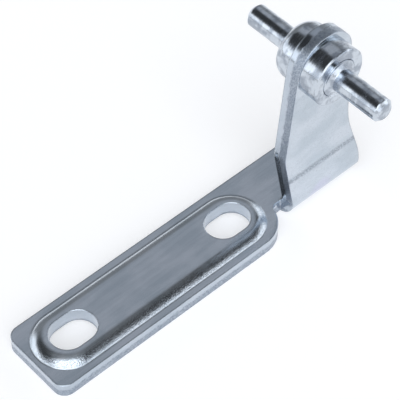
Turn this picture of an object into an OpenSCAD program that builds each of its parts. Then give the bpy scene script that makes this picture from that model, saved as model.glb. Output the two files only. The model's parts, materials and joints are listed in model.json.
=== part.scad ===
/* [Sheet] */
// Thickness of the steel sheet
sheet_t = 4; // [3.5:0.25:4.5]
// Width of the base plate
plate_w = 21.5; // [21:0.25:24]
// From the middle of the slot pattern to the free end of the plate
free_end = 37; // [36:0.5:42]
// Radius of the plate's square corners
corner_r = 3.25; // [2:0.25:5]
// Radius of the big corner beside the relief notch
sweep_r = 8.8; // [8:0.2:9.4]

/* [Slots] */
// Spacing of the two slots
slot_pitch = 49.6; // [46:0.2:50]
// Width of a slot
slot_w = 9.5; // [8:0.25:9.5]
// Length of a slot, end to end
slot_l = 12.5; // [11:0.25:13.5]

/* [Raised pad] */
// Rise of the pad above the plate
pad_h = 1.75; // [1.25:0.25:1.75]
// Flat border between the pad and the plate's long edges
pad_border = 1.9; // [1.5:0.1:2.2]
// Width of the pad's rounded flank
flank_w = 3.6; // [3:0.1:3.6]
// From the middle of the slots to the pad's end at the free end
pad_far = 35.6; // [34.5:0.1:35.6]
// From the middle of the slots to the pad's end at the arm
pad_near = 35; // [34.5:0.1:35]

/* [Arm] */
// From the middle of the slots to the arm's side of the relief notch
arm_start = 40.2; // [39.8:0.1:41]
// Width of the arm's foot along the bend
foot_w = 23.5; // [22.5:0.25:25]
// From the plate's centre line to the arm's outer face
arm_offset = 7.5; // [7.25:0.25:8]
// Outer radius of the bend
bend_r = 6; // [5.5:0.25:6.5]
// Inner radius of the bend
inner_r = 1.2; // [1:0.1:2]
// Depth of the relief notch from the near edge
notch_depth = 7.6; // [7.4:0.1:7.8]
// Height of the shoulder on the arm's open side
shoulder_h = 24.85; // [22:0.5:27]
// Lean of the edge above the shoulder, in degrees
upper_lean = 5.75; // [5:0.25:7]
// Lean of the long edge above the foot, in degrees
foot_lean = 18.7; // [17:0.5:20]
// Lean of the neck's edge below the eye, in degrees
neck_lean = 2.3; // [1.5:0.1:3]
// Outer radius of the eye
eye_r = 8.75; // [8.5:0.05:9.25]
// Height of the pin above the underside of the plate
pin_h = 51.2; // [48:0.2:56]
// From the middle of the slots to the pin
pin_reach = 47.3; // [47:0.1:48]

/* [Hinge pin] */
// Diameter of the two pin ends
pin_d = 6; // [5:0.5:6.5]
// Free length of the pin on the outer side, from the collar to its tip
front_l = 14.6; // [12:0.2:20]
// Free length of the pin behind the rear collar
rear_l = 13.6; // [10:0.2:18]
// Diameter of the shank in the eye
shank_d = 9.8; // [9:0.2:10.4]
// Diameter of the front collar
front_d = 15.5; // [14:0.25:16]
// Length of the front collar
front_h = 5.4; // [4:0.2:7]
// Diameter of the rear collar
rear_d = 15.2; // [14:0.2:16]
// Length of the rear collar
rear_h = 5.7; // [4.5:0.2:7]
// Radius round the rear collar's back edge
rear_round = 3.2; // [2:0.2:3.6]

/* [Hidden] */
$fn = 96;
over = 1;

half_w = plate_w / 2;
arm_end = arm_start + foot_w;
face_y = -arm_offset;
bend_y = face_y + bend_r;
inner_y = face_y + sheet_t + inner_r;

// Half width of the pad where it leaves the plate, and of its flat top
pad_r = half_w - pad_border;
top_r = pad_r - flank_w;
// Radius of the convex flank that drops pad_h over flank_w and is level at the top
flank_r = (flank_w * flank_w + pad_h * pad_h) / (2 * pad_h);
// The underside follows the pad one sheet thickness lower, and its mouth meets the flat border
// at a small angle
mouth_dip = 0.1;

// The sweeping corner runs into the round end of the notch, which overlaps it by a hair
notch_w = 3;
overlap = 0.03;
sweep_x = arm_start - notch_w - sweep_r;
sweep_y = -half_w + sweep_r;
notch_top = -half_w + notch_depth;
notch_reach = arm_start - sweep_x - (sweep_y - notch_top) + sweep_r;
notch_r = notch_reach - sqrt(pow(notch_reach, 2) - pow(arm_start - sweep_x, 2)
    - pow(sweep_y - notch_top, 2) + pow(sweep_r, 2));
notch_x = arm_start - notch_r;
notch_y = notch_top - notch_r;

// Eye centre, and where the arm's edges leave its circle
eye = [pin_reach + 0.75, pin_h];
left_leave = eye + eye_r * [-cos(upper_lean), sin(upper_lean)];
right_leave = eye + eye_r * [cos(neck_lean), sin(neck_lean)];
shoulder = left_leave - (left_leave[1] - shoulder_h) * [tan(upper_lean), 1];
shoulder_r = 8;

// The long edge leaves the foot on a convex arc and meets the neck on a concave one
foot_arc = 25;
neck_arc = 31;
foot_c = [arm_end - foot_arc, sheet_t];
foot_leave = foot_c + foot_arc * [cos(foot_lean), sin(foot_lean)];
neck_dx = (cos(neck_lean) - cos(foot_lean)) * neck_arc;
neck_dz = (sin(foot_lean) - sin(neck_lean)) * neck_arc;
// Solves for the height at which the neck's arc starts, with the foot's edge tangent to it
neck_z0 = (foot_leave[0] + foot_leave[1] * tan(foot_lean) - right_leave[0]
    - right_leave[1] * tan(neck_lean) - neck_dx + neck_dz * tan(neck_lean))
    / (tan(foot_lean) - tan(neck_lean));
neck_x0 = foot_leave[0] - (neck_z0 - foot_leave[1]) * tan(foot_lean);
neck_c = [neck_x0, neck_z0] + neck_arc * [cos(foot_lean), sin(foot_lean)];
neck_end = neck_c - neck_arc * [cos(neck_lean), sin(neck_lean)];

function unit(v) = v / norm(v);

module along_x(x0, length) {
    translate([x0, 0, 0]) rotate([90, 0, 90]) linear_extrude(length) children();
}

module along_y(y0, length) {
    translate([0, y0 + length, 0]) rotate([90, 0, 0]) linear_extrude(length) children();
}

module slot_outline(length, r) {
    for (side = [-1, 1]) translate([side * (length / 2 - r), 0]) circle(r);
    square([length - 2 * r, 2 * r], center = true);
}

// Flat part of the blank, seen from above
module plate_outline() {
    difference() {
        union() {
            for (y = [-1, 1]) translate([-free_end + corner_r, y * (half_w - corner_r)]) circle(corner_r);
            translate([-free_end, -half_w + corner_r]) square([2 * corner_r, plate_w - 2 * corner_r]);
            translate([-free_end + corner_r, -half_w]) square([sweep_x + free_end - corner_r, plate_w]);
            translate([sweep_x, sweep_y]) circle(sweep_r);
            polygon([[sweep_x, half_w], [sweep_x, sweep_y], [notch_x, notch_y],
                [arm_start, notch_y], [arm_start, half_w]]);
            translate([arm_start - over, bend_y]) square([foot_w + over - corner_r, half_w - bend_y]);
            translate([arm_end - 2 * corner_r, bend_y]) square([2 * corner_r, half_w - bend_y - corner_r]);
            translate([arm_end - corner_r, half_w - corner_r]) circle(corner_r);
        }
        translate([notch_x, notch_y]) circle(notch_r + overlap);
        translate([notch_x, notch_y - over]) square([notch_r, notch_r + overlap + over]);
    }
}

// Right half of the pad's section, from its axis out to the foot of the flank
module pad_section() {
    translate([0, sheet_t - over]) square([top_r, pad_h + over]);
    intersection() {
        translate([top_r, sheet_t + pad_h - flank_r]) circle(flank_r);
        translate([0, sheet_t - over]) square([pad_r, pad_h + over]);
    }
}

// Right half of the hollow under the pad
module hollow_section() {
    difference() {
        translate([0, -over]) square([pad_r - mouth_dip, pad_h + over]);
        translate([pad_r - mouth_dip, sheet_t - mouth_dip]) circle(sheet_t);
    }
}

// Sweeps a half section round both ends of the pad and along its straight sides
module pad_sweep() {
    x0 = -pad_far + pad_r;
    x1 = pad_near - pad_r;
    for (x = [x0, x1]) translate([x, 0, 0]) rotate_extrude() children();
    along_x(x0, x1 - x0) children();
    mirror([0, 1, 0]) along_x(x0, x1 - x0) children();
}

// Side view of the bend and the upright sheet
module bend_section() {
    difference() {
        union() {
            intersection() {
                translate([bend_y, bend_r]) circle(bend_r);
                translate([face_y - over, -over]) square([bend_r + over, bend_r + over]);
            }
            translate([bend_y, 0]) square([half_w - bend_y - corner_r, bend_r]);
            translate([face_y, bend_r]) square([bend_r, pin_h + eye_r]);
        }
        translate([inner_y, sheet_t]) square([plate_w, pin_h + eye_r]);
        translate([face_y + sheet_t, sheet_t + inner_r]) square([plate_w, pin_h + eye_r]);
        translate([inner_y, sheet_t + inner_r]) circle(inner_r);
    }
}

// Front view of the arm
module arm_outline() {
    foot = [arm_start, bend_r];
    down = unit(foot - shoulder);
    up = unit(left_leave - shoulder);
    half_turn = acos(down * up) / 2;
    run = shoulder_r / tan(half_turn);
    difference() {
        union() {
            polygon([[arm_start, -over], foot, shoulder + run * down, shoulder + run * up, left_leave,
                eye, right_leave, neck_end, [neck_x0, neck_end[1]], [neck_x0, neck_z0],
                foot_leave, [arm_end, sheet_t], [arm_end, -over]]);
            translate(eye) circle(eye_r);
            translate(shoulder + shoulder_r / sin(half_turn) * unit(down + up)) circle(shoulder_r);
            intersection() {
                translate(foot_c) circle(foot_arc);
                translate([foot_leave[0] - over, sheet_t]) square([2 * over + foot_arc, foot_leave[1] - sheet_t]);
            }
        }
        translate(neck_c) circle(neck_arc);
    }
}

module bracket() color("lightsteelblue") difference() {
    union() {
        linear_extrude(sheet_t) plate_outline();
        pad_sweep() pad_section();
        intersection() {
            along_x(shoulder[0] - over, arm_end - shoulder[0] + 2 * over) bend_section();
            along_y(face_y - over, plate_w) arm_outline();
        }
    }
    pad_sweep() hollow_section();
    for (side = [-1, 1]) translate([side * slot_pitch / 2, 0, -over])
        linear_extrude(sheet_t + pad_h + 2 * over) slot_outline(slot_l, slot_w / 2);
    translate([pin_reach, face_y - over, pin_h]) rotate([-90, 0, 0]) cylinder(d = shank_d, h = sheet_t + 2 * over);
}

// One turned piece, lying along Y with the outer side towards -Y
module hinge_pin() color("silver") translate([pin_reach, face_y, pin_h]) rotate([90, 0, 0]) {
    chamfer = 0.9;
    root = 1.2;
    translate([0, 0, -sheet_t]) cylinder(d = shank_d, h = sheet_t + front_h);
    translate([0, 0, front_h]) cylinder(d1 = pin_d + 2 * root, d2 = pin_d, h = root * 2 / 3);
    translate([0, 0, front_h - over]) cylinder(d = pin_d, h = front_l - chamfer + over);
    translate([0, 0, front_h + front_l - chamfer]) cylinder(d1 = pin_d, d2 = pin_d - 2 * chamfer, h = chamfer);
    mirror([0, 0, 1]) translate([0, 0, sheet_t]) {
        cylinder(d = rear_d, h = rear_h - rear_round);
        rotate_extrude() intersection() {
            translate([rear_d / 2 - rear_round, rear_h - rear_round]) circle(rear_round);
            square([rear_d, rear_h]);
        }
        cylinder(r = rear_d / 2 - rear_round, h = rear_h);
        cylinder(d = pin_d, h = rear_h + rear_l - chamfer);
        translate([0, 0, rear_h + rear_l - chamfer]) cylinder(d1 = pin_d, d2 = pin_d - 2 * chamfer, h = chamfer);
    }
}

// Ring on the shank, against the arm's outer face
module front_collar() color("silver") translate([pin_reach, face_y, pin_h]) rotate([90, 0, 0]) {
    edge = 0.3;
    difference() {
        union() {
            cylinder(d = front_d, h = front_h - edge);
            translate([0, 0, front_h - edge]) cylinder(d1 = front_d, d2 = front_d - 2 * edge, h = edge);
        }
        translate([0, 0, -over]) cylinder(d = shank_d, h = front_h + 2 * over);
        translate([0, 0, front_h - edge]) cylinder(d1 = shank_d, d2 = shank_d + 4 * edge, h = 2 * edge);
    }
}

bracket();
hinge_pin();
front_collar();
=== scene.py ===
# %% [markdown]
# # Fridge middle hinge
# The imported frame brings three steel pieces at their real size: the folded bracket, the turned
# hinge pin, and the ring on its shank. Every shape in the picture is theirs. This script adds what
# they lack: the zinc finish, a pale floor, soft light, and the camera.

# %% Load the frame
import json
import math
import bpy
import numpy as np
from mathutils import Matrix

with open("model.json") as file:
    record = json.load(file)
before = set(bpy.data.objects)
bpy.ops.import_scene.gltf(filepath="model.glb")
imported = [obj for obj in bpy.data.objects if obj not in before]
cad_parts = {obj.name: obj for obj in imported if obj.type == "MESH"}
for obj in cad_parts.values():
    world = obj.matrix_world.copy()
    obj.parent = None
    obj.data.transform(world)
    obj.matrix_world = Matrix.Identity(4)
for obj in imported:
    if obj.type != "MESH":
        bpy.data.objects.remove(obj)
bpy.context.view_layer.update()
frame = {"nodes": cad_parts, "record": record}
MM = 0.001

# %% [markdown]
# ## Camera
# The picture is taken from above the free end of the plate, with a long lens, so that far and near
# parts are nearly the same size. The camera is placed by its turn round the part and its height
# above the floor, and two small sideways steps put the part in the frame as the photograph has it.

# %% Place the camera
turn = math.radians(-42.05)
height = math.radians(50.31)
distance = 415.93 * MM
step_right = 2.16 * MM
step_up = 1.96 * MM
look_at = np.array([12.97, 0.25, 20.0]) * MM
focal_in_pixels = 1736.27
picture_width = 400

back = np.array([math.sin(turn) * math.cos(height), -math.cos(turn) * math.cos(height), math.sin(height)])
right = np.array([math.cos(turn), math.sin(turn), 0.0])
up = np.cross(back, right)
eye_point = look_at + distance * back + step_right * right + step_up * up

lens = bpy.data.cameras.new("camera")
lens.sensor_width = 36
lens.lens = lens.sensor_width * focal_in_pixels / picture_width
lens.clip_start = 10 * MM
camera = bpy.data.objects.new("camera", lens)
placed = np.eye(4)
placed[:3] = np.column_stack([right, up, back, eye_point])
camera.matrix_world = Matrix(placed.tolist())
bpy.context.scene.collection.objects.link(camera)
bpy.context.scene.camera = camera
print("camera at", eye_point.round(4), "lens", round(lens.lens, 1), "mm")

# %% [markdown]
# ## Shader sums written as Python
# A finish is a sum of masks: here is the flank of the pad, there is a punched wall. Wired by hand
# that is dozens of Math nodes. One small class wraps a socket, so that `1 - mask` adds the node.

# %% The socket class
class Value:
    """A number that varies over a surface; each operator on it adds one Math node."""

    def __init__(self, finish, socket):
        self.finish = finish
        self.socket = socket

    def math(self, operation, *others):
        return self.finish.node("ShaderNodeMath", {"operation": operation}, [self, *others])

    def __add__(self, other):
        return self.math("ADD", other)

    def __mul__(self, other):
        return self.math("MULTIPLY", other)

    def __sub__(self, other):
        return self.math("SUBTRACT", other)

    def __rsub__(self, other):
        return self.finish.node("ShaderNodeMath", {"operation": "SUBTRACT"}, [other, self])

    __radd__ = __add__
    __rmul__ = __mul__

    def __abs__(self):
        return self.math("ABSOLUTE")

    def rises(self, low, high):
        """0 below low, 1 above high, and a smooth step between them."""
        settings = {"interpolation_type": "SMOOTHSTEP"}
        return self.finish.node("ShaderNodeMapRange", settings, {0: self, 1: low, 2: high})

    def parts(self):
        """The X, Y and Z of a vector."""
        return [self.finish.node("ShaderNodeSeparateXYZ", {}, [self], axis) for axis in range(3)]


# %% The node tree of a finish
class Finish:
    """A node tree, with one method that adds any node."""

    def __init__(self, tree):
        self.tree = tree

    def node(self, kind, settings=None, sockets=(), output=0):
        """Adds a node: its settings first, then the values or links of its sockets."""
        node = self.tree.nodes.new(kind)
        for name, setting in (settings or {}).items():
            setattr(node, name, setting)
        named = sockets.items() if isinstance(sockets, dict) else enumerate(sockets)
        for key, value in named:
            self.feed(node.inputs[key], value)
        return Value(self, node.outputs[output])

    def feed(self, socket, value):
        """Links a Value into a socket, or writes a plain number or colour there."""
        if isinstance(value, Value):
            self.tree.links.new(value.socket, socket)
        elif socket.type == "RGBA":
            socket.default_value = (*value, 1)
        else:
            socket.default_value = value

    def mix(self, share, first, second):
        """A colour that goes from the first to the second as share goes from 0 to 1."""
        return self.node("ShaderNodeMix", {"data_type": "RGBA"}, {0: share, 6: first, 7: second}, 2)

    def grain(self, place, stretch, detail=3):
        """Noise whose grains are 1 / stretch long along each axis, in metres."""
        scaled = self.node("ShaderNodeVectorMath", {"operation": "MULTIPLY"}, [place, stretch])
        return self.node("ShaderNodeTexNoise", {}, {"Vector": scaled, "Scale": 1.0, "Detail": detail})


def new_metal(name):
    """A metal material: its node tree and its shader node."""
    material = bpy.data.materials.new(name)
    material.use_nodes = True
    shader = material.node_tree.nodes["Principled BSDF"]
    shader.inputs["Metallic"].default_value = 1.0
    return material, Finish(material.node_tree), shader


# %% [markdown]
# ## Floor
# A plain pale floor. Bright metal shows whatever is round it, so the floor has to be as light in a
# reflection as it is to the eye. Light Path adds the same glow for both, and for nothing else, so
# the glow lights nothing and the floor keeps the hinge's shadow.

# %% Lay the floor
floor_colour = (0.62, 0.62, 0.63)
floor_glow = (0.50, 0.50, 0.50)
floor_half = 2.0

corners = [(x * floor_half, y * floor_half, 0) for x, y in ((-1, -1), (1, -1), (1, 1), (-1, 1))]
floor_mesh = bpy.data.meshes.new("floor")
floor_mesh.from_pydata(corners, [], [(0, 1, 2, 3)])
floor = bpy.data.objects.new("floor", floor_mesh)
bpy.context.scene.collection.objects.link(floor)

paint = bpy.data.materials.new("pale floor")
paint.use_nodes = True
matt = paint.node_tree.nodes["Principled BSDF"]
floor_finish = Finish(paint.node_tree)
floor_finish.feed(matt.inputs["Base Color"], floor_colour)
floor_finish.feed(matt.inputs["Roughness"], 0.9)
floor_finish.feed(matt.inputs["Specular IOR Level"], 0.1)
seen = sum(floor_finish.node("ShaderNodeLightPath", output=f"Is {ray} Ray")
           for ray in ("Camera", "Glossy", "Transmission"))
floor_finish.feed(matt.inputs["Emission Color"], floor_finish.mix(seen.rises(0, 1), (0, 0, 0), floor_glow))
floor_finish.feed(matt.inputs["Emission Strength"], 1.0)
floor_mesh.materials.append(paint)
print("floor", 2 * floor_half, "m wide")

# %% [markdown]
# ## Light
# Zinc has no colour of its own to speak of: the dark band, the white crease and the grey top in
# the photograph are all the room, seen in the metal. So the light is a soft tent worked out
# backwards from them. It is bright in a ring low down, dark above that, with a small grey crown
# straight overhead for the view from the top, and it has a thin dark horizon.
# One grey panel stands where the flat top of the plate reflects it, a second one dims the ring
# beyond the plate's far edge, and a soft key behind the camera is reflected by no large face.

# %% Hang the light tent
ring_stops = ((0.0, 0.06), (0.07, 1.55), (0.44, 1.45), (0.57, 0.14), (0.70, 0.04), (0.90, 0.04), (1.0, 0.42))
ring_tint = np.array([0.97, 1.0, 1.04])
panel_tint = np.array([0.95, 1.0, 1.09])
panel_level = 0.44
panel_wide = math.cos(math.radians(22))
panel_core = math.cos(math.radians(13))
far_panel = (0.44, 0.86, 0.26)
far_level = 0.26
far_wide = math.cos(math.radians(44))
far_core = math.cos(math.radians(28))
key_level = 2.4
key_wide = math.cos(math.radians(34))
key_core = math.cos(math.radians(24))

world = bpy.data.worlds.new("light tent")
world.use_nodes = True
world.node_tree.nodes.clear()
bpy.context.scene.world = world
tent = Finish(world.node_tree)
toward = tent.node("ShaderNodeTexCoord", output="Generated")


def near(direction, wide, core):
    """1 within the core angle of a direction, falling to 0 at the wide one."""
    dot = tent.node("ShaderNodeVectorMath", {"operation": "DOT_PRODUCT"}, [toward, direction], "Value")
    return dot.rises(wide, core)


ring = tent.node("ShaderNodeValToRGB", {}, [toward.parts()[2]])
ramp = ring.socket.node.color_ramp
for place, level in ring_stops[1:-1]:
    ramp.elements.new(place)
for stop, (place, level) in zip(ramp.elements, ring_stops):
    stop.position = place
    stop.color = (*(level * ring_tint), 1)
mirrored = (-back[0], -back[1], back[2])
dimmed = tent.mix(near(far_panel, far_wide, far_core), ring, tuple(far_level * ring_tint))
panelled = tent.mix(near(mirrored, panel_wide, panel_core), dimmed, tuple(panel_level * panel_tint))
lit = tent.mix(near(tuple(back), key_wide, key_core), panelled, tuple(key_level * ring_tint))
glow = tent.node("ShaderNodeBackground", {}, [lit])
tent_output = world.node_tree.nodes.new("ShaderNodeOutputWorld")
tent.feed(tent_output.inputs["Surface"], glow)
print("light tent with", len(ramp.elements), "stops")

# %% [markdown]
# ## Zinc on pressed sheet
# The bracket is cut, embossed and folded before it is plated, and each tool leaves its mark. The
# rolled face keeps a faint grain along the strip. The pad's flank on the arm's side is stretched
# most over the die and comes out pebbled; its grains are also painted dark, a painted reflection
# of the room's dark band on that flank. A punched wall is burnished where the punch went in, and
# torn below that. The bending tool scuffs a line across the arm. A faint lilac patch on the bend is
# painted shade of the dent there. Each mark is a mask on Object coordinates.

# %% Sizes of the sheet
sheet = 4.0 * MM
arm_face = -7.5 * MM
pad_middle = -0.3 * MM
pad_half_run = 26.45 * MM
pad_top = 5.25 * MM
pad_foot = 8.85 * MM
# Along Y, where the flank's pebbling and its painted dark reflection fade out.
pebble_and_painted_dark_fade = (-2.0 * MM, 3.0 * MM)
pad_surface = 5.75 * MM
bend_top = 6.0 * MM
scuff_height = 16.0 * MM
scuff_reach = 1.5 * MM
# Middle (along X, up Z) and reach of a lilac patch of painted shade on the dent in the bend.
dent_shade_middle = np.array([50.0, 4.5]) * MM
dent_shade_reach = 5.0 * MM


# %% Masks on the sheet
def sheet_masks(finish, place, facing):
    """Where each tool left its mark, and where the dent in the bend gets painted shade, from the place on
    the sheet and the way it faces.
    """
    x, y, z = place.parts()
    nx, ny, nz = [abs(part) for part in facing.parts()]
    past_end = (abs(x - pad_middle) - pad_half_run).math("MAXIMUM", 0.0)
    reach = (past_end * past_end + y * y).math("SQRT")
    # The near flank of the pad: pebbled, and painted dark as a painted reflection of the room's dark band.
    flank = reach.rises(pad_top + 0.6 * MM, pad_foot - 0.8 * MM)
    flank = flank * (1 - reach.rises(pad_foot - 0.3 * MM, pad_foot))
    flank = flank * z.rises(sheet - 0.2 * MM, sheet) * (1 - y.rises(*pebble_and_painted_dark_fade))
    on_arm = z.rises(pad_surface, bend_top)
    plate_wall = (1 - nz.rises(0.2, 0.32)) * (1 - on_arm)
    arm_wall = (1 - ny.rises(0.3, 0.6)) * on_arm
    depth = (z * (1 / sheet)) * (1 - on_arm) + ((y - arm_face) * (1 / sheet)) * on_arm
    face = on_arm * ny.rises(0.8, 0.95) * (1 - y.rises(arm_face, arm_face + 0.3 * MM))
    scuff = face * (1 - abs(z - scuff_height).rises(0.2 * scuff_reach, scuff_reach))
    # Painted shade: a lilac patch on the dent in the bend, on faces that look along Y.
    aside = x - dent_shade_middle[0]
    above = z - dent_shade_middle[1]
    painted_dent_shade = (1 - (aside * aside + above * above).math("SQRT").rises(0.4 * dent_shade_reach, dent_shade_reach))
    painted_dent_shade = painted_dent_shade * ny.rises(0.3, 0.8)
    return flank, plate_wall + arm_wall, depth, scuff, painted_dent_shade, face


# %% Colour, gloss and relief of the sheet
def zinc_sheet():
    """Grain, pebbled flank with a painted dark reflection, burnished and torn walls, scuff and lilac painted
    shade on the bend's dent.
    """
    material, finish, shader = new_metal("zinc on pressed sheet")
    place = finish.node("ShaderNodeTexCoord", output="Object")
    facing = finish.node("ShaderNodeTexCoord", output="Normal")
    flank, wall, depth, scuff, painted_dent_shade, face = sheet_masks(finish, place, facing)
    strip = finish.grain(place, (45, 900, 900))
    cloud = finish.grain(place, (90, 160, 160), 4)
    pebble = finish.grain(place, (3400, 3400, 3400), 2)
    mottle = finish.grain(place, (650, 650, 650), 3)
    torn = wall * (1 - (depth + (mottle - 0.5) * 0.35).rises(0.50, 0.66))
    shine = wall - torn

    colour = finish.mix(cloud.rises(0.35, 0.65), (0.50, 0.56, 0.62), (0.60, 0.65, 0.71))
    colour = finish.mix(strip.rises(0.40, 0.62) * (1 - face) * 0.16, colour, (0.78, 0.82, 0.88))
    colour = finish.mix(torn * (0.35 + pebble.rises(0.42, 0.58) * 0.5), colour, (0.20, 0.24, 0.31))
    colour = finish.mix(shine * 0.5, colour, (0.46, 0.52, 0.60))
    colour = finish.mix(scuff * pebble.rises(0.36, 0.56) * 0.60, colour, (0.14, 0.16, 0.20))
    colour = finish.mix(face * pebble.rises(0.56, 0.66) * 0.22, colour, (0.26, 0.30, 0.36))
    # Painted shade: the lilac patch on the dent in the bend.
    colour = finish.mix(painted_dent_shade * 0.40, colour, (0.56, 0.54, 0.72))
    # Pebbled grains on the flank, painted dark: real pebbling and a painted reflection of the dark band.
    colour = finish.mix(flank * pebble.rises(0.46, 0.60) * 0.55, colour, (0.18, 0.21, 0.26))
    finish.feed(shader.inputs["Base Color"], colour)

    rough = 0.20 + (mottle - 0.5) * 0.12 + torn * 0.16 - shine * 0.04 + scuff * 0.12
    finish.feed(shader.inputs["Roughness"], rough)

    relief = strip * 0.04 + mottle * 0.12 + pebble * (0.10 + flank * 0.9 + torn * 1.2 + scuff * 0.4)
    rounded = finish.node("ShaderNodeBevel", {"samples": 6}, {"Radius": 0.60 * MM})
    bumped = {"Strength": 0.55, "Distance": 0.12 * MM, "Height": relief, "Normal": rounded}
    finish.feed(shader.inputs["Normal"], finish.node("ShaderNodeBump", {}, bumped))
    return material


# %% [markdown]
# ## Zinc on turned steel
# The pin and the ring come off a lathe. The tool leaves fine rings round the axis, and plating
# brightens them without filling them. Noise read at (distance from the axis, place along it) has
# no way to vary round the axis, so it makes rings on the cylinders and the end faces alike.

# %% Colour, gloss and relief of turned pieces
pin_axis = next(mount["pos_m"] for mount in frame["record"]["mounts"] if mount["name"] == "outer_pin")


def zinc_turned(name, pitch, depth):
    """Turning rings of the given pitch, with a few dull blotches from the plating rack."""
    material, finish, shader = new_metal(name)
    place = finish.node("ShaderNodeTexCoord", output="Object")
    x, y, z = place.parts()
    out = x - pin_axis[0]
    above = z - pin_axis[2]
    radius = (out * out + above * above).math("SQRT")
    lathe = finish.node("ShaderNodeCombineXYZ", {}, [radius, y])
    rings = finish.grain(lathe, (1 / pitch,) * 3, 2)
    blotch = finish.grain(place, (420, 420, 420), 3)
    colour = finish.mix(blotch.rises(0.40, 0.62), (0.60, 0.65, 0.71), (0.36, 0.40, 0.46))
    finish.feed(shader.inputs["Base Color"], colour)
    finish.feed(shader.inputs["Roughness"], 0.13 + blotch.rises(0.45, 0.7) * 0.12 + rings * 0.06)
    rounded = finish.node("ShaderNodeBevel", {"samples": 6}, {"Radius": 0.35 * MM})
    bumped = {"Strength": 0.5, "Distance": depth, "Height": rings + blotch * 1.2, "Normal": rounded}
    finish.feed(shader.inputs["Normal"], finish.node("ShaderNodeBump", {}, bumped))
    return material


# %% Dress the pieces
finishes = {
    "bracket": zinc_sheet(),
    "hinge_pin": zinc_turned("zinc on the turned pin", 0.30 * MM, 0.06 * MM),
    "front_collar": zinc_turned("zinc on the turned ring", 0.45 * MM, 0.08 * MM),
}
for piece, material in finishes.items():
    frame["nodes"][piece].material_slots[0].material = material
    print(piece, "gets", material.name)

# %% [markdown]
# ## Finish
# Colours are shown as they are.

# %% Show colours as they are
bpy.context.scene.view_settings.view_transform = "Standard"
